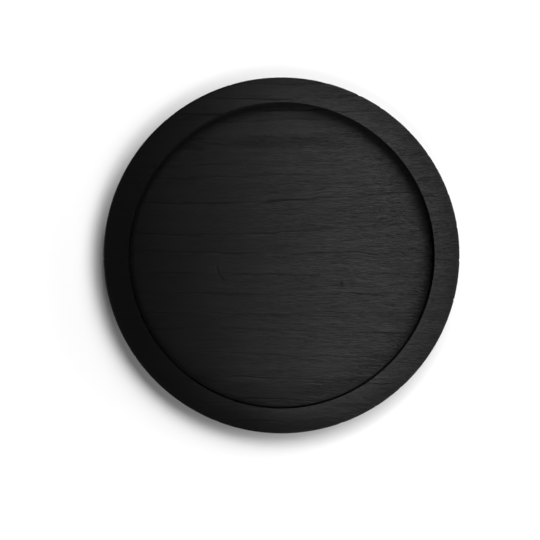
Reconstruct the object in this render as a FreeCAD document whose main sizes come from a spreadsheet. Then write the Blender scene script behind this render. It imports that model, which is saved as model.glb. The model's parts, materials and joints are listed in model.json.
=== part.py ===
import FreeCAD, Part
import math
import os

import Sketcher

# A round serving tray of black-stained wood.
#
# Six sawn staves lie side by side along X and are glued edge to edge into one panel. The panel
# is then turned as one piece: the outside is cut round, with a rim that falls gently outwards
# and eased edges, and a flat recess is sunk into the top, which leaves the rim standing. So
# every stave carries its own slice of the floor and of the rim, and each one is a separate
# solid here.
#
# Units are millimetres. The origin is the centre of the underside, +Z is up, and the staves
# and their grain run along X. Nothing on the tray moves.

DIMENSIONS = (
    ("tray_diameter", 300.0, "over the rim"),
    ("tray_height", 20.0, "from the underside to the rim's inner edge, its highest ring"),
    ("rim_width", 21.25, "from the recess wall to the outside"),
    ("recess_depth", 11.5, "from the rim's inner edge down to the floor"),
    ("rim_fall", 0.6, "of the rim's top, from its inner edge to the outer edge's rounding"),
    ("outer_edge_radius", 1.5, "between the rim's top and the side"),
    ("under_edge_radius", 2.0, "between the side and the underside"),
    ("stave_width", 56.4, "from one glue joint to the next"),
    ("joint_offset", 4.5, "from the centre to the middle glue joint, towards +Y"),
    ("planing_allowance", 2.0, "extra thickness on a sawn stave"),
    ("sawing_allowance", 5.0, "extra length on each end of a sawn stave"),
)

STAVES = ("stave_front", "stave_2", "stave_3", "stave_4", "stave_5", "stave_back")
MIDDLE_JOINT = 3  # as many staves lie in front of the middle glue joint as behind it

START = 1
END = 2
CENTRE = 3
ROOT_POINT = (-1, 1)
X_AXIS = -1
Y_AXIS = -2


def make_sheet(document):
    """The driving dimensions, one row each, with an alias."""
    sheet = document.addObject("Spreadsheet::Sheet", "Dimensions")
    for row, (alias, value, meaning) in enumerate(DIMENSIONS, start=1):
        sheet.set(f"A{row}", alias)
        sheet.set(f"B{row}", str(value))
        sheet.set(f"C{row}", meaning)
        sheet.setAlias(f"B{row}", alias)
    document.recompute()
    return sheet


def origin_plane(body, role):
    """One of the body's own origin planes."""
    for feature in body.Origin.OriginFeatures:
        if feature.Role == role:
            return feature
    raise RuntimeError(f"{body.Label} has no {role}")


def new_sketch(body, name, role):
    """An empty sketch on one of the body's own origin planes."""
    sketch = body.newObject("Sketcher::SketchObject", name)
    sketch.AttachmentSupport = [(origin_plane(body, role), "")]
    sketch.MapMode = "FlatFace"
    return sketch


def bind(sketch, kind, name, expression, *where):
    """A named constraint on the sketch, driven by an expression on the sheet."""
    value = sketch.evalExpression(expression)
    index = sketch.addConstraint(Sketcher.Constraint(kind, *where, float(value)))
    sketch.renameConstraint(index, name)
    sketch.setExpression(f"Constraints.{name}", expression)


def add_polyline(sketch, points):
    """Straight lines through the points, each joined to the one before it."""
    lines = []
    for start, end in zip(points, points[1:]):
        lines.append(sketch.addGeometry(Part.LineSegment(start, end)))
    for before, after in zip(lines, lines[1:]):
        sketch.addConstraint(Sketcher.Constraint("Coincident", before, END, after, START))
    return lines


def draw_blank(body, front_joint):
    """The sawn stave seen from above: a rectangle between two glue joints."""
    sketch = new_sketch(body, "BlankOutline", "XY_Plane")
    half_length = "Dimensions.tray_diameter / 2 + Dimensions.sawing_allowance"
    reach = float(sketch.evalExpression(half_length))
    near = float(sketch.evalExpression(front_joint))
    far = near + float(sketch.evalExpression("Dimensions.stave_width"))
    corners = [
        FreeCAD.Vector(-reach, near, 0),
        FreeCAD.Vector(reach, near, 0),
        FreeCAD.Vector(reach, far, 0),
        FreeCAD.Vector(-reach, far, 0),
        FreeCAD.Vector(-reach, near, 0),
    ]
    front, right, back, left = add_polyline(sketch, corners)
    sketch.addConstraint(Sketcher.Constraint("Coincident", left, END, front, START))
    for edge in (front, back):
        sketch.addConstraint(Sketcher.Constraint("Horizontal", edge))
    for edge in (right, left):
        sketch.addConstraint(Sketcher.Constraint("Vertical", edge))
    bind(sketch, "DistanceX", "to_right_end", half_length, *ROOT_POINT, right, START)
    bind(sketch, "DistanceX", "to_left_end", half_length, left, END, *ROOT_POINT)
    bind(sketch, "DistanceY", "to_front_joint", front_joint, *ROOT_POINT, front, START)
    bind(sketch, "DistanceY", "width", "Dimensions.stave_width", right, START, right, END)
    return sketch


def draw_outside(body, sheet):
    """What turning takes off the outside: all that lies beyond the rim's top and the side."""
    outer = sheet.tray_diameter / 2
    inner = outer - sheet.rim_width
    below = -sheet.planing_allowance
    above = sheet.tray_height + 2 * sheet.planing_allowance
    slope = math.atan2(sheet.rim_fall, sheet.rim_width - sheet.outer_edge_radius)
    rim_edge = FreeCAD.Vector(inner, sheet.tray_height, 0)
    rounding = sheet.outer_edge_radius * FreeCAD.Vector(math.sin(slope), math.cos(slope), 0)
    rim_end = FreeCAD.Vector(outer - sheet.outer_edge_radius, sheet.tray_height - sheet.rim_fall, 0)
    edge_centre = rim_end - rounding
    under_centre = FreeCAD.Vector(outer - sheet.under_edge_radius, sheet.under_edge_radius, 0)

    def arc(centre, radius, start_angle, end_angle):
        circle = Part.Circle(centre, FreeCAD.Vector(0, 0, 1), radius)
        return sketch.addGeometry(Part.ArcOfCircle(circle, start_angle, end_angle))

    sketch = new_sketch(body, "OutsideOutline", "XZ_Plane")
    under = arc(under_centre, sheet.under_edge_radius, -math.pi / 2, 0)
    side_foot = FreeCAD.Vector(outer, under_centre.y, 0)
    side_top = FreeCAD.Vector(outer, edge_centre.y, 0)
    side = sketch.addGeometry(Part.LineSegment(side_foot, side_top))
    edge = arc(edge_centre, sheet.outer_edge_radius, 0, math.pi / 2 - slope)
    rim = sketch.addGeometry(Part.LineSegment(rim_end, rim_edge))
    swing = sheet.tray_diameter
    inside, top, beyond, bottom, foot = add_polyline(
        sketch,
        [
            rim_edge,
            FreeCAD.Vector(inner, above, 0),
            FreeCAD.Vector(swing, above, 0),
            FreeCAD.Vector(swing, below, 0),
            FreeCAD.Vector(under_centre.x, below, 0),
            FreeCAD.Vector(under_centre.x, 0, 0),
        ],
    )
    for before, after in ((under, side), (side, edge), (edge, rim)):
        sketch.addConstraint(Sketcher.Constraint("Tangent", before, END, after, START))
    sketch.addConstraint(Sketcher.Constraint("Coincident", rim, END, inside, START))
    sketch.addConstraint(Sketcher.Constraint("Coincident", foot, END, under, START))
    for line in (side, inside, beyond, foot):
        sketch.addConstraint(Sketcher.Constraint("Vertical", line))
    for line in (top, bottom):
        sketch.addConstraint(Sketcher.Constraint("Horizontal", line))
    sketch.addConstraint(Sketcher.Constraint("PointOnObject", under, START, X_AXIS))
    bind(sketch, "Radius", "under_edge", "Dimensions.under_edge_radius", under)
    bind(sketch, "DistanceX", "under_edge_centre",
         "Dimensions.tray_diameter / 2 - Dimensions.under_edge_radius", *ROOT_POINT, under, CENTRE)
    bind(sketch, "DistanceX", "under_edge_start",
         "Dimensions.tray_diameter / 2 - Dimensions.under_edge_radius", *ROOT_POINT, under, START)
    bind(sketch, "Radius", "outer_edge", "Dimensions.outer_edge_radius", edge)
    bind(sketch, "DistanceY", "rim_fall", "Dimensions.rim_fall", rim, START, rim, END)
    bind(sketch, "DistanceY", "rim_edge_height", "Dimensions.tray_height", *ROOT_POINT, rim, END)
    bind(sketch, "DistanceX", "to_recess_wall",
         "Dimensions.tray_diameter / 2 - Dimensions.rim_width", *ROOT_POINT, rim, END)
    bind(sketch, "DistanceY", "cutter_above",
         "Dimensions.tray_height + 2 * Dimensions.planing_allowance", *ROOT_POINT, top, START)
    bind(sketch, "DistanceX", "swing", "Dimensions.tray_diameter", *ROOT_POINT, top, END)
    bind(sketch, "DistanceY", "cutter_below", "Dimensions.planing_allowance", bottom, START, *ROOT_POINT)
    return sketch


def draw_recess(body, sheet):
    """What turning takes out of the top: a flat-bottomed round recess with an upright wall."""
    sketch = new_sketch(body, "RecessOutline", "XZ_Plane")
    inner = sheet.tray_diameter / 2 - sheet.rim_width
    floor = sheet.tray_height - sheet.recess_depth
    above = sheet.tray_height + 2 * sheet.planing_allowance
    corners = [
        FreeCAD.Vector(0, floor, 0),
        FreeCAD.Vector(inner, floor, 0),
        FreeCAD.Vector(inner, above, 0),
        FreeCAD.Vector(0, above, 0),
        FreeCAD.Vector(0, floor, 0),
    ]
    bottom, wall, top, axis = add_polyline(sketch, corners)
    sketch.addConstraint(Sketcher.Constraint("Coincident", axis, END, bottom, START))
    for line in (bottom, top):
        sketch.addConstraint(Sketcher.Constraint("Horizontal", line))
    sketch.addConstraint(Sketcher.Constraint("Vertical", wall))
    sketch.addConstraint(Sketcher.Constraint("PointOnObject", axis, START, Y_AXIS))
    sketch.addConstraint(Sketcher.Constraint("PointOnObject", axis, END, Y_AXIS))
    bind(sketch, "DistanceX", "recess_radius",
         "Dimensions.tray_diameter / 2 - Dimensions.rim_width", *ROOT_POINT, bottom, END)
    bind(sketch, "DistanceY", "floor_height",
         "Dimensions.tray_height - Dimensions.recess_depth", *ROOT_POINT, bottom, START)
    bind(sketch, "DistanceY", "cutter_above",
         "Dimensions.tray_height + 2 * Dimensions.planing_allowance", *ROOT_POINT, top, START)
    return sketch


def turn_away(body, name, sketch):
    """Cut the sketched outline away all round the tray's upright axis."""
    before = body.Shape.Volume
    groove = body.newObject("PartDesign::Groove", name)
    groove.Profile = sketch
    groove.ReferenceAxis = (sketch, ["V_Axis"])
    groove.Angle = 360.0
    sketch.Visibility = False
    body.Document.recompute()
    if body.Shape.Volume >= before:
        raise RuntimeError(f"{name} cut nothing from {body.Label}")


def make_stave(document, sheet, label, place):
    """One stave: a sawn blank, turned outside and inside with the rest of the panel."""
    body = document.addObject("PartDesign::Body", label)
    body.Label = label
    body.Placement = FreeCAD.Placement()
    front_joint = f"Dimensions.joint_offset + {place - MIDDLE_JOINT} * Dimensions.stave_width"
    outline = draw_blank(body, front_joint)
    blank = body.newObject("PartDesign::Pad", "SawnBlank")
    blank.Profile = outline
    blank.setExpression("Length", "Dimensions.tray_height + Dimensions.planing_allowance")
    outline.Visibility = False
    document.recompute()
    turn_away(body, "TurnedOutside", draw_outside(body, sheet))
    turn_away(body, "TurnedRecess", draw_recess(body, sheet))
    return body


def check(document, bodies):
    """Stop unless every object computed and every stave is one valid closed solid."""
    for item in document.Objects:
        if "Invalid" in item.State or "Error" in item.State:
            raise RuntimeError(f"{item.Label} did not compute: {item.State}")
    for body in bodies:
        shape = body.Shape
        if shape.isNull() or not shape.isValid() or len(shape.Solids) != 1:
            raise RuntimeError(f"{body.Label} is not one valid solid")


def main():
    document = FreeCAD.newDocument("ServingTray")
    sheet = make_sheet(document)
    bodies = []
    for place, label in enumerate(STAVES):
        bodies.append(make_stave(document, sheet, label, place))
    document.recompute()
    check(document, bodies)
    os.makedirs("parts", exist_ok=True)
    for body in bodies:
        body.Shape.exportStep(os.path.join("parts", f"{body.Label}.step"))
        box = body.Shape.optimalBoundingBox(False)
        print(f"{body.Label}: {body.Shape.Volume / 1000:.1f} cm3, "
              f"X {box.XMin:.1f}..{box.XMax:.1f}, Y {box.YMin:.1f}..{box.YMax:.1f}, "
              f"Z {box.ZMin:.2f}..{box.ZMax:.2f}")


main()
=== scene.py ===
import json
import math

import bpy
import numpy as np
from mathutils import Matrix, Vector


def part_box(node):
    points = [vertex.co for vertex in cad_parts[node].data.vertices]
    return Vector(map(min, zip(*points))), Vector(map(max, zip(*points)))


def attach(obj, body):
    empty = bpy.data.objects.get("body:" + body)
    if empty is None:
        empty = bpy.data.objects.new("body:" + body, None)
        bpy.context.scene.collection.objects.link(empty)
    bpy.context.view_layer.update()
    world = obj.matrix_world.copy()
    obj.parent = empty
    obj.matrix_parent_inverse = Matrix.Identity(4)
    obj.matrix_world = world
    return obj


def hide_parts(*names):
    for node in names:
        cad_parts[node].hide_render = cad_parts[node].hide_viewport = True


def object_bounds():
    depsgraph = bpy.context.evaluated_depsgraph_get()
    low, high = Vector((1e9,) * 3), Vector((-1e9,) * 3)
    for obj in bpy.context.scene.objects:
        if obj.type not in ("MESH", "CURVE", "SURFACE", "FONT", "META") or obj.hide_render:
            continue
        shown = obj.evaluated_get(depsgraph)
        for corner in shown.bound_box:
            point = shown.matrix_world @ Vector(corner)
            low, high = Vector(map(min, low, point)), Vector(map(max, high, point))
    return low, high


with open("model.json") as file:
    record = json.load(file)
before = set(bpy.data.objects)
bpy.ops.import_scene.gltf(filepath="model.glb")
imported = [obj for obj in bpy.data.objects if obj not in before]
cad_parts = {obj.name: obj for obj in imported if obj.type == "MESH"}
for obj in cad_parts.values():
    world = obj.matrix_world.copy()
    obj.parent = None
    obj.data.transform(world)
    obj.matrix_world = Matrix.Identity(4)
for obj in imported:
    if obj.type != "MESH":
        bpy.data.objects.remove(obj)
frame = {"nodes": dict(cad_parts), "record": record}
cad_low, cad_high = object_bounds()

# The looks of a round, black-stained wooden serving tray, built round its CAD staves. Metres,
# +Z up, the origin in the middle of the underside. The staves and their grain run along X, and
# every stave is rebuilt as a fine mesh with its growth rings, open joints and worn edges.

MM = 0.001

# ---------------------------------------------------------------------------- sizes

MOUNTS = {mount["name"]: mount for mount in frame["record"]["mounts"]}
OUTER = cad_high.x
TOP = cad_high.z
FLOOR = MOUNTS["serving_floor"]["pos_m"][2]
RIM_FALL = 0.6 * MM
OUTER_EDGE = 1.5 * MM
UNDER_EDGE = 2 * MM
ARRIS = 0.05 * MM
STAVES = ("stave_front", "stave_2", "stave_3", "stave_4", "stave_5", "stave_back")


def recess_radius():
    """The recess's radius: the widest CAD vertex at the height of its floor."""
    widest = 0.0
    for node in frame["nodes"].values():
        for vertex in node.data.vertices:
            if abs(vertex.co.z - FLOOR) < 0.01 * MM:
                widest = max(widest, math.hypot(vertex.co.x, vertex.co.y))
    return widest


RECESS = recess_radius()
RIM_FLAT = OUTER - OUTER_EDGE - RECESS
RIM_SLOPE = math.atan2(RIM_FALL, RIM_FLAT)
RIM_END = OUTER - OUTER_EDGE + OUTER_EDGE * math.sin(RIM_SLOPE)
EDGE_CENTRE = TOP - RIM_FLAT * math.tan(RIM_SLOPE) - OUTER_EDGE / math.cos(RIM_SLOPE)


def circle_height(reach, radius):
    """How high a circle of that radius stands at a distance from its own axis."""
    return np.sqrt(np.maximum(0.0, radius * radius - reach * reach))


def top_height(radius):
    """The rim's top: a worn inner arris, the outward slope, and the rounded outer edge."""
    slope = TOP - (radius - RECESS) * math.tan(RIM_SLOPE)
    arris = -ARRIS + circle_height(np.maximum(0.0, RECESS + ARRIS - radius), ARRIS)
    edge = EDGE_CENTRE + circle_height(radius - (OUTER - OUTER_EDGE), OUTER_EDGE)
    return np.where(radius > RIM_END, edge, slope + arris)


def under_height(radius):
    """The underside, with its rounded edge."""
    reach = np.maximum(0.0, radius - (OUTER - UNDER_EDGE))
    return UNDER_EDGE - circle_height(reach, UNDER_EDGE)


# ---------------------------------------------------------------------------- boards

class Board:
    """How one stave was cut from its log: where the pith lay, how far apart the growth rings
    are, where one dark ring line crosses the tray's floor at x = 0, how far the lines climb
    towards +Y from the left end to the right, how pale the wood is, with 1 as the middle, and
    a number that sets its own pattern. Lengths are given in millimetres."""

    def __init__(self, pith_y, pith_z, spacing, line_y, climb, tone, seed):
        self.pith_y = pith_y * MM
        self.pith_z = pith_z * MM
        self.spacing = spacing * MM
        self.line_y = line_y * MM
        self.climb = climb * MM
        self.tone = tone
        self.seed = seed


BOARDS = {
    "stave_front": Board(60, 20, 16.0, -123.4, -8, 0.96, 1),
    "stave_2": Board(60, 30, 20.3, -63.7, -8, 1.00, 2),
    "stave_3": Board(60, 41, 16.0, -15.7, -1, 1.03, 3),
    "stave_4": Board(-35, -33, 22.8, 19.7, 16, 1.00, 4),
    "stave_5": Board(97, -5.5, 9.0, 78.8, 14, 0.97, 5),
    "stave_back": Board(60, -20, 11.0, 125.0, 10, 0.94, 6),
}


def share_along(x):
    """How much of the tray's width lies to the left, from 0 to 1."""
    return np.clip((x + OUTER) / (2 * OUTER), 0, 1)


def stray(x, board):
    """How far the fibres lie towards +Y of where they would be at x = 0: a climb, most of it
    near the right end, and slow waves."""
    climb = board.climb * (share_along(x) ** 3 - 0.5 ** 3)
    slow = 0.7 * MM * np.sin(2 * math.pi * x / (170 * MM) + 1.7 * board.seed)
    quick = 0.25 * MM * np.sin(2 * math.pi * x / (63 * MM) + 2.9 * board.seed)
    return climb + slow + quick


def ripple(x, y, board):
    """The uneven course of a ring line, which differs from one ring to the next."""
    total = np.zeros_like(x)
    for wave, (length, height) in enumerate(((71, 0.35), (43, 0.22), (23, 0.10), (13, 0.05))):
        turn = 2 * math.pi * (x / (length * MM) + y / ((9 + 4 * wave) * MM))
        total += height * MM * np.sin(turn + 2.3 * wave * board.seed + board.seed)
    return total


def ring_count(points, board):
    """How many rings out from the pith each point lies. The dark lines are whole numbers."""
    x, y, z = points.T
    distance = np.hypot(y - stray(x, board) - board.pith_y, z - board.pith_z)
    distance = distance + ripple(x, y, board)
    first = math.hypot(board.line_y - board.pith_y, FLOOR - board.pith_z)
    return (distance - first) / board.spacing


def ring_vigour(x, rings, board):
    """How strong each ring line is: some rings are stronger than others, each one comes and
    goes along the board, and all are stronger towards the right. A ring's own number, from 0
    to 1, looks random but is the same in every run."""
    nearest = np.round(rings)
    shuffled = np.sin(nearest * 12.9898 + board.seed * 78.233) * 43758.5453
    own = shuffled - np.floor(shuffled)
    slow = np.sin(2 * math.pi * (x / (97 * MM) + 3.1 * own) + board.seed)
    quick = np.sin(2 * math.pi * (x / (53 * MM) + 7.7 * own))
    shown = 0.6 + 0.28 * slow + 0.12 * quick
    return shown * (0.5 + 0.5 * own) * (0.55 + 0.65 * share_along(x))


def fibre_way(x, board):
    """The fibres' direction at each point, which leans a little out of the surface so that it
    never lies square to it on the end grain."""
    step = 0.5 * MM
    slope = (stray(x + step, board) - stray(x - step, board)) / (2 * step)
    way = np.stack([np.ones_like(x), slope, np.full_like(x, 0.03)], axis=1)
    return way / np.linalg.norm(way, axis=1, keepdims=True)


# ---------------------------------------------------------------------------- stave meshes

ROW_PITCH = 0.25 * MM
CLOSEST_ROWS = 0.004 * MM
APEX_PITCH = 1.2 * MM
APEX_ROWS = 9
MERGE_DISTANCE = 0.0005 * MM
SAME_PLACE = 1e-6 * MM
UNDER_STEPS = 50
ARC_STEPS = 6
SIDE_STEPS = 7
RIM_STEPS = 34
ARRIS_STEPS = 4
WALL_STEPS = 7
FLOOR_STEPS = 70
GROOVE_WIDTH = 0.45 * MM
GROOVE_DEPTH = 0.14 * MM
LINE_WIDTH = 0.7 * MM
LINE_DEPTH = 0.65 * MM
HOLLOW_DEPTH = 0.04 * MM
FADE = 0.8 * MM
LEVEL_NORMAL = 0.98
SHARP_ANGLE = math.radians(20)
CHIP = Vector((100.6 * MM, -110.8 * MM))
CHIP_LENGTH = 2.6 * MM
CHIP_ACROSS = 1.6 * MM
CHIP_DEPTH = 1.2 * MM


def apex_rows(radius):
    """Rows close to a circle's own end, spaced so that the circle stays round there."""
    step = APEX_PITCH / radius
    return [radius * math.cos(step * k) for k in range(APEX_ROWS)]


def is_joint(row):
    """Whether a stave's edge is glued to a neighbour, and isn't the tray's own end."""
    return abs(row) < OUTER - 1 * MM


def stave_rows(near, far):
    """The places across the tray at which a stave is cut into sections."""
    rows = [near, far]
    count = max(1, round((far - near) / ROW_PITCH))
    rows += [near + (far - near) * k / count for k in range(1, count)]
    for joint, inward in ((near, 1), (far, -1)):
        if is_joint(joint):
            rows += [joint + inward * GROOVE_WIDTH * part for part in (0.25, 0.5, 0.75, 1.0)]
    for radius in (RECESS, RECESS + ARRIS, RIM_END, OUTER - UNDER_EDGE, OUTER):
        for row in apex_rows(radius):
            rows += [side * row for side in (-1, 1) if near < side * row < far]
    kept = []
    for row in sorted(rows):
        if not kept or row - kept[-1] > CLOSEST_ROWS:
            kept.append(row)
        elif abs(abs(row) - RECESS) < SAME_PLACE or row == far:
            kept[-1] = row
    return np.array(kept)


def half_section(rows):
    """The right half of the section at each row, from the middle of the underside round the
    edge and the rim to the middle of the floor: arrays of x and z, one line for each row. In
    the rows beyond the recess, what would be its wall and floor narrows into the rim's top."""
    y = rows[:, None]
    reach = np.abs(y)
    columns = []

    def across(radius):
        return circle_height(y, radius)

    def add_surface(x, height):
        columns.append((x, height(np.hypot(x, y))))

    def add_circles(radii, height):
        for radius in radii:
            held = np.maximum(radius, reach)
            columns.append((np.sqrt(np.maximum(0.0, held ** 2 - y ** 2)), height(held)))

    for part in np.linspace(0, 1, UNDER_STEPS + 1):
        add_surface(part * across(OUTER - UNDER_EDGE), under_height)
    quarter = np.linspace(0, math.pi / 2, ARC_STEPS + 1)[1:]
    add_circles(OUTER - UNDER_EDGE + UNDER_EDGE * np.sin(quarter), under_height)
    for height in np.linspace(UNDER_EDGE, EDGE_CENTRE, SIDE_STEPS + 1)[1:]:
        columns.append((across(OUTER), np.full_like(y, height)))
    turn = np.linspace(0, math.pi / 2 - RIM_SLOPE, ARC_STEPS + 1)[1:]
    add_circles(OUTER - OUTER_EDGE + OUTER_EDGE * np.cos(turn), top_height)
    outer_end, inner_end = across(RIM_END), across(RECESS + ARRIS)
    for part in np.linspace(0, 1, RIM_STEPS + 1)[1:]:
        add_surface(outer_end + part * (inner_end - outer_end), top_height)
    quarter = np.linspace(0, math.pi / 2, ARRIS_STEPS + 1)[1:]
    add_circles(RECESS + ARRIS - ARRIS * np.sin(quarter), top_height)
    beyond = reach > RECESS
    over = top_height(reach)
    for height in np.linspace(TOP - ARRIS, FLOOR, WALL_STEPS + 1)[1:]:
        columns.append((across(RECESS), np.where(beyond, over, height)))
    for part in np.linspace(1, 0, FLOOR_STEPS + 1)[1:]:
        columns.append((part * across(RECESS), np.where(beyond, over, FLOOR)))
    x = np.concatenate([column[0] for column in columns], axis=1)
    z = np.concatenate([column[1] for column in columns], axis=1)
    return x, z


def stave_shell(rows):
    """Vertices and faces of a stave's outside, without its two glued faces, and the vertex
    numbers of every row's section. Where a section narrows to a point its vertices merge, and
    two faces that come to share all their corners there cancel out."""
    x, z = half_section(rows)
    x = np.concatenate([x, -x[:, -2:0:-1]], axis=1)
    z = np.concatenate([z, z[:, -2:0:-1]], axis=1)
    y = np.broadcast_to(rows[:, None], x.shape)
    points = np.stack([x, y, z], axis=2).reshape(-1, 3)
    keys = np.round(points / MERGE_DISTANCE).astype(np.int64)
    _, first, numbers = np.unique(keys, axis=0, return_index=True, return_inverse=True)
    vertices = points[first]
    grid = numbers.reshape(x.shape)
    after = np.roll(grid, -1, axis=1)
    quads = np.stack([grid[:-1], grid[1:], after[1:], after[:-1]], axis=2).reshape(-1, 4)
    faces = {}
    for quad in quads.tolist():
        corners = [corner for k, corner in enumerate(quad) if corner != quad[k - 1]]
        if len(set(corners)) < 3 or len(set(corners)) != len(corners):
            continue
        key = frozenset(corners)
        if key in faces:
            del faces[key]
        else:
            faces[key] = corners
    return vertices, list(faces.values()), grid


def vertex_normals(vertices, faces):
    """The smooth normal at each vertex of a surface."""
    surface = bpy.data.meshes.new("surface")
    surface.from_pydata(vertices.tolist(), [], faces)
    surface.update()
    normals = np.empty(len(vertices) * 3)
    surface.vertices.foreach_get("normal", normals)
    bpy.data.meshes.remove(surface)
    return normals.reshape(-1, 3)


def loop_of(row):
    """One section's outline without the vertices that merged."""
    outline = []
    for vertex in row.tolist():
        if not outline or vertex != outline[-1]:
            outline.append(vertex)
    if outline[0] == outline[-1]:
        outline.pop()
    return outline


def set_attribute(mesh, name, values):
    """A number or a vector for each vertex, which the material reads by name."""
    if values.ndim == 1:
        attribute = mesh.attributes.new(name, "FLOAT", "POINT")
        attribute.data.foreach_set("value", values.astype(np.float32))
    else:
        attribute = mesh.attributes.new(name, "FLOAT_VECTOR", "POINT")
        attribute.data.foreach_set("vector", values.astype(np.float32).ravel())


def chip_depth(points):
    """A small chip knocked out of the outer edge."""
    turn = np.arctan2(points[:, 1], points[:, 0]) - math.atan2(CHIP.y, CHIP.x)
    along = np.arctan2(np.sin(turn), np.cos(turn)) * OUTER
    inward = OUTER - np.hypot(points[:, 0], points[:, 1])
    down = TOP - points[:, 2]
    away = (along / CHIP_LENGTH) ** 2 + (inward / CHIP_ACROSS) ** 2 + (down / CHIP_ACROSS) ** 2
    ragged = 1 + 0.3 * np.sin(along / (0.45 * MM)) + 0.2 * np.sin(down / (0.3 * MM))
    return CHIP_DEPTH * ragged * np.exp(-away ** 2)


def relief(points, rings, vigour, joints, board):
    """How far the surface stands off the turned shape: ring lines, joints and the chip lie
    lower, and the soft wood between two lines is a little hollow. All but the chip fades out
    towards the crisp arris and on the recess's wall."""
    off_line = np.abs(rings - np.round(rings)) * board.spacing
    low = -LINE_DEPTH * vigour * np.exp(-(off_line / LINE_WIDTH) ** 2)
    low -= HOLLOW_DEPTH * (1 - np.cos(2 * math.pi * rings)) / 2
    for joint in joints:
        near = np.clip(1 - np.abs(points[:, 1] - joint) / GROOVE_WIDTH, 0, 1)
        low -= GROOVE_DEPTH * near ** 1.5
    off_arris = np.abs(np.hypot(points[:, 0], points[:, 1]) - RECESS) - ARRIS
    kept = np.where(points[:, 2] < FLOOR + 0.1 * MM, 1, np.clip(off_arris / FADE, 0, 1))
    return low * kept - chip_depth(points)


def on_wall(mesh):
    """Which faces belong to the recess's wall and its arris."""
    normals = np.empty(len(mesh.polygons) * 3)
    middles = np.empty(len(mesh.polygons) * 3)
    mesh.polygons.foreach_get("normal", normals)
    mesh.polygons.foreach_get("center", middles)
    middles = middles.reshape(-1, 3)
    radius = np.hypot(middles[:, 0], middles[:, 1])
    near = np.abs(radius - RECESS) < 2 * ARRIS
    steep = normals.reshape(-1, 3)[:, 2] < LEVEL_NORMAL
    return near & steep & (middles[:, 2] > FLOOR)


def stave_mesh(name, rows, joints):
    """A stave's closed mesh, with what its material reads at each vertex. At a glued joint the
    relief moves no vertex off the joint's plane."""
    board = BOARDS[name]
    vertices, faces, grid = stave_shell(rows)
    normals = vertex_normals(vertices, faces)
    for joint in joints:
        normals[np.abs(vertices[:, 1] - joint) < SAME_PLACE, 1] = 0
    rings = ring_count(vertices, board)
    vigour = ring_vigour(vertices[:, 0], rings, board)
    vertices = vertices + normals * relief(vertices, rings, vigour, joints, board)[:, None]
    if rows[0] in joints:
        faces.append(loop_of(grid[0]))
    if rows[-1] in joints:
        faces.append(loop_of(grid[-1])[::-1])
    mesh = bpy.data.meshes.new(name + "_wood")
    mesh.from_pydata(vertices.tolist(), [], faces)
    mesh.validate()
    set_attribute(mesh, "rings", rings)
    set_attribute(mesh, "vigour", vigour)
    set_attribute(mesh, "stray", stray(vertices[:, 0], board))
    set_attribute(mesh, "fibre_way", fibre_way(vertices[:, 0], board))
    mesh.shade_smooth()
    mesh.set_sharp_from_angle(angle=SHARP_ANGLE)
    return mesh


def build_stave(name):
    """One stave as a fine closed mesh, which stands for its CAD node. The first and the last
    reach out to the full circle, which a CAD box taken from straight facets just misses."""
    low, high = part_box(name)
    near = -OUTER if name == STAVES[0] else low.y
    far = OUTER if name == STAVES[-1] else high.y
    rows = stave_rows(near, far)
    joints = [row for row in (rows[0], rows[-1]) if is_joint(row)]
    mesh = stave_mesh(name, rows, joints)
    mesh.materials.append(stained_wood(name, joints, FACE_FINISH))
    mesh.materials.append(stained_wood(name, joints, WALL_FINISH_AND_PAINTED_LIGHT))
    mesh.polygons.foreach_set("material_index", on_wall(mesh).astype(np.int32))
    stave = bpy.data.objects.new(name + "_wood", mesh)
    bpy.context.scene.collection.objects.link(stave)
    return stave


# ---------------------------------------------------------------------------- material

WOOD_ROUGHNESS = 0.52
LEAST_ROUGHNESS = 0.25
ANISOTROPY = 0.85
QUARTER_TURN = 0.25
DARK_STAIN = (0.0002, 0.0002, 0.0002, 1)

# The two finishes: the stain's palest colour, its gloss, and what deepens the stain towards
# black. Both deepen towards the front left, which is painted shade. The wall's pale colour
# is painted light, which lifts the wall where it stands in shade at the back right. The
# recess's wall has no gloss, since at a grazing angle a glossy one would mirror the tray's
# floor as a bright ring.
FACE_FINISH = {
    "pale": (0.0024, 0.0024, 0.0023, 1),
    "specular": 0.28,
    "start": 0.0,
    "deepens": {"dark": 1.0, "outward": 0.5, "shade_front_left": 1.0},
}
# Painted light and shade: the pale colour lifts the wall where it stands in shade, and the strong
# darkening towards the front left shades it where it faces the light.
WALL_FINISH_AND_PAINTED_LIGHT = {
    "pale": (0.030, 0.030, 0.029, 1),
    "specular": 0.0,
    "start": -0.6,
    "deepens": {"dark": 0.2, "shade_front_left": 1.9},
}

# How far each pattern darkens the stain, raises the surface in millimetres, tips the surface's
# normal along the fibres, and roughens the gloss.
DARKENS = {
    "fine": -3.8, "medium": -2.2, "broad": -1.6, "figure": -3.4, "patch": -1.1, "line": 2.5,
    "late": -0.7, "early": 0.15, "pore": 1.3, "joint": 1.0, "mark": 1.0,
}
RAISES = {"fine": 0.45, "medium": 0.15, "figure": 0.5, "line": -0.15, "pore": -0.2, "mark": -0.04}
TIPS = {
    "medium": 0.1, "fine": 0.16, "swirl": 0.12, "figure": 0.3, "line": -0.07, "late": 0.012,
    "rubbed": -0.12, "lively": 0.015, "mark": -0.02,
}
ROUGHENS = {"dark": 0.04, "outward": 0.17, "past_wall": -0.025, "upright": 0.1}

BAND_MIDDLE = (-12 * MM, 96 * MM)
KNOT_MIDDLE = (51 * MM, -24 * MM)
CRACK_MIDDLE = (-38 * MM, -9 * MM)
CRACK_RADIUS = 17 * MM


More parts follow.
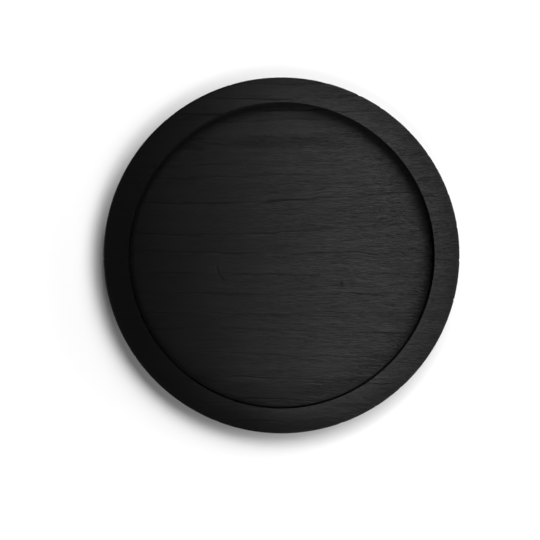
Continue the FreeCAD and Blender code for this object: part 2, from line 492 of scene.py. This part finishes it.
class Nodes:
    """Short calls for adding nodes to one material or world, and the X, Y and Z that its
    patterns are laid out in."""

    def __init__(self, owner, space="Object"):
        owner.use_nodes = True
        self.tree = owner.node_tree
        self.shader = self.tree.nodes.get("Principled BSDF") or self.tree.nodes["Background"]
        place = self.add("ShaderNodeTexCoord").outputs[space]
        self.x, self.y, self.z = self.add("ShaderNodeSeparateXYZ", {0: place}).outputs

    def add(self, kind, inputs=(), **settings):
        node = self.tree.nodes.new(kind)
        for key, value in settings.items():
            setattr(node, key, value)
        for socket, value in dict(inputs).items():
            self.set(node.inputs[socket], value)
        return node

    def set(self, socket, value):
        if isinstance(value, bpy.types.NodeSocket):
            self.tree.links.new(value, socket)
        else:
            socket.default_value = value

    def math(self, operation, *values):
        return self.add("ShaderNodeMath", enumerate(values), operation=operation).outputs[0]

    def vector(self, operation, inputs):
        return self.add("ShaderNodeVectorMath", inputs, operation=operation).outputs[0]

    def combined(self, x, y, z):
        return self.add("ShaderNodeCombineXYZ", {"X": x, "Y": y, "Z": z}).outputs[0]

    def attribute(self, name, output="Fac"):
        return self.add("ShaderNodeAttribute", attribute_name=name).outputs[output]

    def scaled(self, vector, scale, shift):
        inputs = {"Vector": vector, "Scale": scale, "Location": shift}
        return self.add("ShaderNodeMapping", inputs).outputs["Vector"]

    def noise(self, vector, detail=2.0):
        inputs = {"Vector": vector, "Scale": 1.0, "Detail": detail}
        return self.add("ShaderNodeTexNoise", inputs).outputs["Fac"]

    def ramp(self, value, low, high, to_low=0.0, to_high=1.0, smooth=True):
        inputs = {"Value": value, 1: low, 2: high, 3: to_low, 4: to_high}
        kind = "SMOOTHSTEP" if smooth else "LINEAR"
        return self.add("ShaderNodeMapRange", inputs, interpolation_type=kind).outputs[0]

    def sum(self, *values):
        total = values[0]
        for value in values[1:]:
            total = self.math("ADD", total, value)
        return total

    def product(self, *values):
        total = values[0]
        for value in values[1:]:
            total = self.math("MULTIPLY", total, value)
        return total

    def centred(self, value):
        """A texture's value, as a swing either side of nought."""
        return self.math("SUBTRACT", value, 0.5)

    def blend(self, patterns, weights, start=0.0):
        """The sum of the patterns that the weights name, each times its weight."""
        parts = [self.product(patterns[name], weight) for name, weight in weights.items()]
        return self.sum(start, *parts)

    def distance_to(self, x, y, stretch=1.0):
        """How far each point lies from an upright line through (x, y), in metres. A stretch
        over 1 makes an oval that much longer along X."""
        off_x = self.math("DIVIDE", self.math("SUBTRACT", self.x, x), stretch)
        off_y = self.math("SUBTRACT", self.y, y)
        squares = self.sum(self.math("POWER", off_x, 2), self.math("POWER", off_y, 2))
        return self.math("SQRT", squares)


class Wood(Nodes):
    """The nodes of one stave's wood. All of its pattern lies in the solid wood, so that end
    grain shows on the two ends and long grain on the faces. The finer patterns are a quarter
    of their strength at the left end and nearly four times it at the right, which is lively."""

    def __init__(self, material, board):
        super().__init__(material)
        self.board = board
        self.radius = self.distance_to(0.0, 0.0)
        across = self.math("SUBTRACT", self.y, self.attribute("stray"))
        self.grain = self.combined(self.x, across, self.z)
        along = self.ramp(self.x, -OUTER, OUTER, smooth=False)
        self.lively = self.sum(0.25, self.product(along, along, along, 3.6))

    def in_grain(self, along, across):
        """Places that follow the fibres' bends, counted in steps of that many millimetres
        along and across them. Each stave has its own part of the pattern."""
        scale = (1 / (along * MM), 1 / (across * MM), 1 / (across * MM))
        seed = self.board.seed
        return self.scaled(self.grain, scale, (3.7 * seed, 11.3 * seed, 5.9 * seed))

    def streaks(self, along, across):
        """Noise from 0 to 1 in streaks about that many millimetres long and wide."""
        return self.noise(self.in_grain(along, across))

    def swing(self, along, across):
        """The same streaks, as a swing either side of nought."""
        return self.centred(self.streaks(along, across))


def grain_patterns(n):
    """Streaks from fine to broad. The finer ones are stronger towards the right end."""
    return {
        "lively": n.lively,
        "fine": n.product(n.swing(7, 0.8), n.lively),
        "medium": n.product(n.swing(20, 1.5), n.lively),
        "broad": n.swing(60, 5),
        "patch": n.swing(80, 26),
        "swirl": n.product(n.swing(60, 3), n.lively),
    }


def ring_patterns(n):
    """The growth rings: a dark line, frayed and broken, with porous early wood after it and
    dense late wood before it."""
    rings = n.attribute("rings")
    vigour = n.attribute("vigour")
    phase = n.math("FRACT", rings)
    off_line = n.product(n.math("PINGPONG", rings, 0.5), n.board.spacing / MM)
    frayed = n.sum(off_line, n.product(n.swing(9, 0.9), 1.6))
    broken = n.ramp(n.streaks(14, 1.4), 0.34, 0.52, 0.45, 1)
    early = n.ramp(phase, 0.0, 0.4, 1, 0)
    return {
        "line": n.product(n.ramp(frayed, 0.1, 1.4, 1, 0), vigour, broken),
        "early": early,
        "late": n.product(n.ramp(phase, 0.7, 0.95), vigour),
        "pore": pores(n, early),
    }


def pores(n, early):
    """Short dark pores, which crowd in the early wood. A cell's colour is a random number of
    its own, and only the cells where it is high have a pore."""
    cell = n.add("ShaderNodeTexVoronoi", {"Vector": n.in_grain(7, 0.9), "Scale": 1.0})
    crowd = n.ramp(n.sum(cell.outputs["Color"], n.product(early, 0.3)), 0.6, 0.75)
    return n.product(n.ramp(cell.outputs["Distance"], 0.1, 0.4, 1, 0), crowd, n.lively)


def cross_figure(n):
    """Fine ripples that lean across the grain, in patches towards the right end."""
    leaning = n.combined(n.x, n.sum(n.y, n.product(n.x, 0.3)), n.z)
    crossed = n.scaled(leaning, (1 / (2.6 * MM), 1 / (1.3 * MM), 1 / (1.3 * MM)), (0, 0, 0))
    shown = n.product(n.ramp(n.x, 30 * MM, 115 * MM), n.ramp(n.streaks(35, 14), 0.35, 0.6))
    return n.product(n.centred(n.noise(crossed, 3.0)), shown)


def wear_patterns(n):
    """Where the finish differs: outwards over the rim, past the recess's wall, on upright
    faces, towards the front left, and where it is rubbed dull there, which is on the rim's
    outer part and at the foot of the wall. The darkening towards the front left is painted
    shade, where the light falls away."""
    outward = n.ramp(n.radius, RECESS, OUTER - 4 * MM, smooth=False)
    past_wall = n.ramp(n.radius, RECESS, RECESS + 0.5 * MM)
    within = n.ramp(n.radius, RECESS, RECESS + 0.5 * MM, 1, 0)
    foot = n.product(n.ramp(n.radius, RECESS - 4 * MM, RECESS - 0.5 * MM), within)
    # Painted shade: the stain darkens towards the front left, where the light falls away.
    shade_front_left = n.ramp(n.sum(n.x, n.y), -OUTER, OUTER, 1, 0)
    facing = n.add("ShaderNodeNewGeometry").outputs["Normal"]
    level = n.math("ABSOLUTE", n.add("ShaderNodeSeparateXYZ", {0: facing}).outputs["Z"])
    return {
        "outward": outward,
        "past_wall": past_wall,
        "upright": n.ramp(level, 0.1, 0.5, 1, 0),
        "shade_front_left": shade_front_left,
        "rubbed": n.product(n.sum(outward, n.product(foot, 0.5)), shade_front_left),
    }


def joint_lines(n, joints):
    """The dark glue line along each edge where the stave meets its neighbour."""
    nearest = 1.0
    for joint in joints:
        off = n.math("ABSOLUTE", n.math("SUBTRACT", n.y, joint))
        nearest = n.math("MINIMUM", nearest, off)
    return n.ramp(nearest, 0.2 * MM, 0.7 * MM, 1, 0)


def dark_band(n):
    """A soft dark band where one stave took up more stain."""
    away = n.distance_to(*BAND_MIDDLE, stretch=8)
    return n.product(n.ramp(away, 1 * MM, 6.5 * MM, 1, 0), 0.9)


def knot_and_crack(n):
    """A pin knot, and a short curved crack that lies across the grain."""
    away = n.distance_to(*KNOT_MIDDLE, stretch=0.5)
    knot = n.ramp(away, 1.6 * MM, 3.6 * MM, 1, 0)
    off_arc = n.math("SUBTRACT", n.distance_to(*CRACK_MIDDLE), CRACK_RADIUS)
    arc = n.ramp(n.math("ABSOLUTE", off_arc), 0.4 * MM, 1.6 * MM, 1, 0)
    front_end = n.ramp(n.y, -23 * MM, -20 * MM)
    back_end = n.ramp(n.y, -10 * MM, -7 * MM, 1, 0)
    left_side = n.ramp(n.x, -46 * MM, -44 * MM, 1, 0)
    crack = n.product(arc, front_end, back_end, left_side)
    return n.sum(n.product(knot, 2.6), n.product(crack, 1.6))


MARKS = {"stave_5": dark_band, "stave_3": knot_and_crack}


def grained_normal(n, patterns, way):
    """The surface's normal: bumped by the grain, and tipped along the fibres, so that what
    should look duller catches less of the light that comes from the right."""
    height = n.blend(patterns, RAISES)
    bump = n.add("ShaderNodeBump", {"Height": height, "Strength": 1.0, "Distance": MM})
    tip = n.vector("SCALE", {0: way, "Scale": n.blend(patterns, TIPS)})
    return n.vector("NORMALIZE", {0: n.vector("ADD", {0: bump.outputs[0], 1: tip})})


def stained_wood(stave, joints, finish_and_painted_light):
    """Open-pored wood under a thin black stain, whose gloss is drawn out along the fibres."""
    material = bpy.data.materials.new(stave + "_black_wood_and_shade")
    n = Wood(material, BOARDS[stave])
    patterns = {**grain_patterns(n), **ring_patterns(n), **wear_patterns(n)}
    patterns["figure"] = cross_figure(n)
    patterns["joint"] = joint_lines(n, joints)
    patterns["mark"] = MARKS[stave](n) if stave in MARKS else 0.0
    dark = n.blend(patterns, DARKENS, 1 - n.board.tone)
    patterns["dark"] = n.math("MAXIMUM", n.math("MINIMUM", dark, 3.0), -2.0)
    # The stain's depth holds painted shade towards the front left, and on the wall the pale
    # colour is painted light.
    stain_and_shade = n.blend(patterns, finish_and_painted_light["deepens"], finish_and_painted_light["start"])
    rough = n.blend(patterns, ROUGHENS, WOOD_ROUGHNESS)
    way = n.attribute("fibre_way", "Vector")
    # A Mix node's colour sockets share their names with others of its own, so they go by number.
    colour = n.add("ShaderNodeMix", data_type="RGBA")
    n.set(colour.inputs[0], n.ramp(stain_and_shade, -1.0, 1.5, smooth=False))
    n.set(colour.inputs[6], finish_and_painted_light["pale"])
    n.set(colour.inputs[7], DARK_STAIN)
    n.set(n.shader.inputs["Base Color"], colour.outputs[2])
    n.set(n.shader.inputs["Roughness"], n.math("MAXIMUM", LEAST_ROUGHNESS, rough))
    n.set(n.shader.inputs["Normal"], grained_normal(n, patterns, way))
    n.set(n.shader.inputs["Tangent"], way)
    n.shader.inputs["Specular IOR Level"].default_value = finish_and_painted_light["specular"]
    n.shader.inputs["Anisotropic"].default_value = ANISOTROPY
    n.shader.inputs["Anisotropic Rotation"].default_value = QUARTER_TURN
    return material


# ---------------------------------------------------------------------------- stage

SCREEN_GLOW = 0.8
ROOM_GLOW = 0.03
GROUND_HALF = 12.0
SENSOR_WIDTH = 36
CAMERA_HEIGHT = 0.76
CAMERA_X = -9.7 * MM
CAMERA_Y = -12.3 * MM
VIEW_WIDTH = 0.4537

# Each of the ground's glows: how far out it begins, how far out it is full, and its strength.
GROUND_GLOWS = (
    (OUTER + 7 * MM, OUTER + 22 * MM, 0.2),
    (OUTER + 18 * MM, OUTER + 150 * MM, 0.26),
    (3 * OUTER, 8 * OUTER, 0.8),
)


def pale_floor():
    """A matt white floor. It glows a little away from the tray, so that it stays white there
    while the tray's own shadow keeps its depth."""
    material = bpy.data.materials.new("pale_floor")
    n = Nodes(material)
    radius = n.distance_to(0.0, 0.0)
    glows = [n.ramp(radius, begins, full, 0, glow) for begins, full, glow in GROUND_GLOWS]
    n.set(n.shader.inputs["Emission Strength"], n.sum(*glows))
    n.shader.inputs["Emission Color"].default_value = (1, 1, 1, 1)
    n.shader.inputs["Base Color"].default_value = (0.86, 0.86, 0.86, 1)
    n.shader.inputs["Roughness"].default_value = 0.9
    n.shader.inputs["Specular IOR Level"].default_value = 0.2
    return material


def build_ground():
    """A wide floor for the tray to stand on."""
    half = GROUND_HALF
    corners = [(-half, -half, 0), (half, -half, 0), (half, half, 0), (-half, half, 0)]
    mesh = bpy.data.meshes.new("ground")
    mesh.from_pydata(corners, [], [(0, 1, 2, 3)])
    mesh.materials.append(pale_floor())
    ground = bpy.data.objects.new("ground", mesh)
    bpy.context.scene.collection.objects.link(ground)


def soft_light(name, azimuth, elevation, distance, size, power):
    """A round soft light aimed at the tray. Azimuth turns from +X towards +Y, in degrees."""
    light = bpy.data.lights.new(name, "AREA")
    light.shape = "DISK"
    light.size = size
    light.energy = power
    lamp = bpy.data.objects.new(name, light)
    turn, rise = math.radians(azimuth), math.radians(elevation)
    reach = math.cos(rise)
    towards = Vector((reach * math.cos(turn), reach * math.sin(turn), math.sin(rise)))
    lamp.location = towards * distance
    lamp.rotation_euler = towards.to_track_quat("Z", "Y").to_euler()
    lamp.visible_camera = False
    bpy.context.scene.collection.objects.link(lamp)


def build_lights():
    """A wide key light from behind on the right, two weaker ones, and the studio round them."""
    soft_light("key_light", azimuth=60, elevation=48, distance=1.35, size=1.1, power=17.2)
    soft_light("right_light", azimuth=12, elevation=52, distance=1.2, size=0.7, power=6.0)
    soft_light("front_light", azimuth=-75, elevation=32, distance=0.9, size=0.5, power=2.45)
    bpy.context.scene.world = studio()


def studio():
    """White behind the tray and nearly dark for lighting it, but for pale screens low down at
    the left and the right, which only glossy surfaces see from a low view."""
    world = bpy.data.worlds.new("studio")
    world.cycles_visibility.diffuse = False
    n = Nodes(world, "Generated")
    above = n.ramp(n.z, 0.0, 0.1)
    below = n.ramp(n.z, 0.5, 0.75, 1, 0)
    beside = n.ramp(n.math("ABSOLUTE", n.x), 0.25, 0.65)
    screens = n.product(above, below, beside, SCREEN_GLOW)
    seen = n.add("ShaderNodeLightPath").outputs["Is Camera Ray"]
    strength = n.math("MAXIMUM", n.sum(ROOM_GLOW, screens), seen)
    n.set(n.shader.inputs["Strength"], strength)
    n.shader.inputs["Color"].default_value = (1, 1, 1, 1)
    return world


def build_camera():
    """Straight above, a little to the front and left of the tray's middle. At the rim's
    height it takes in VIEW_WIDTH from left to right."""
    camera = bpy.data.cameras.new("camera")
    camera.sensor_width = SENSOR_WIDTH
    camera.lens = SENSOR_WIDTH * CAMERA_HEIGHT / VIEW_WIDTH
    holder = bpy.data.objects.new("camera", camera)
    holder.location = (CAMERA_X, CAMERA_Y, TOP + CAMERA_HEIGHT)
    bpy.context.scene.collection.objects.link(holder)
    bpy.context.scene.camera = holder


# ---------------------------------------------------------------------------- making

build_camera()
build_lights()
build_ground()
for stave_name in STAVES:
    stave_object = build_stave(stave_name)
    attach(stave_object, "root")
    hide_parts(stave_name)
bpy.context.scene.view_settings.view_transform = "Standard"
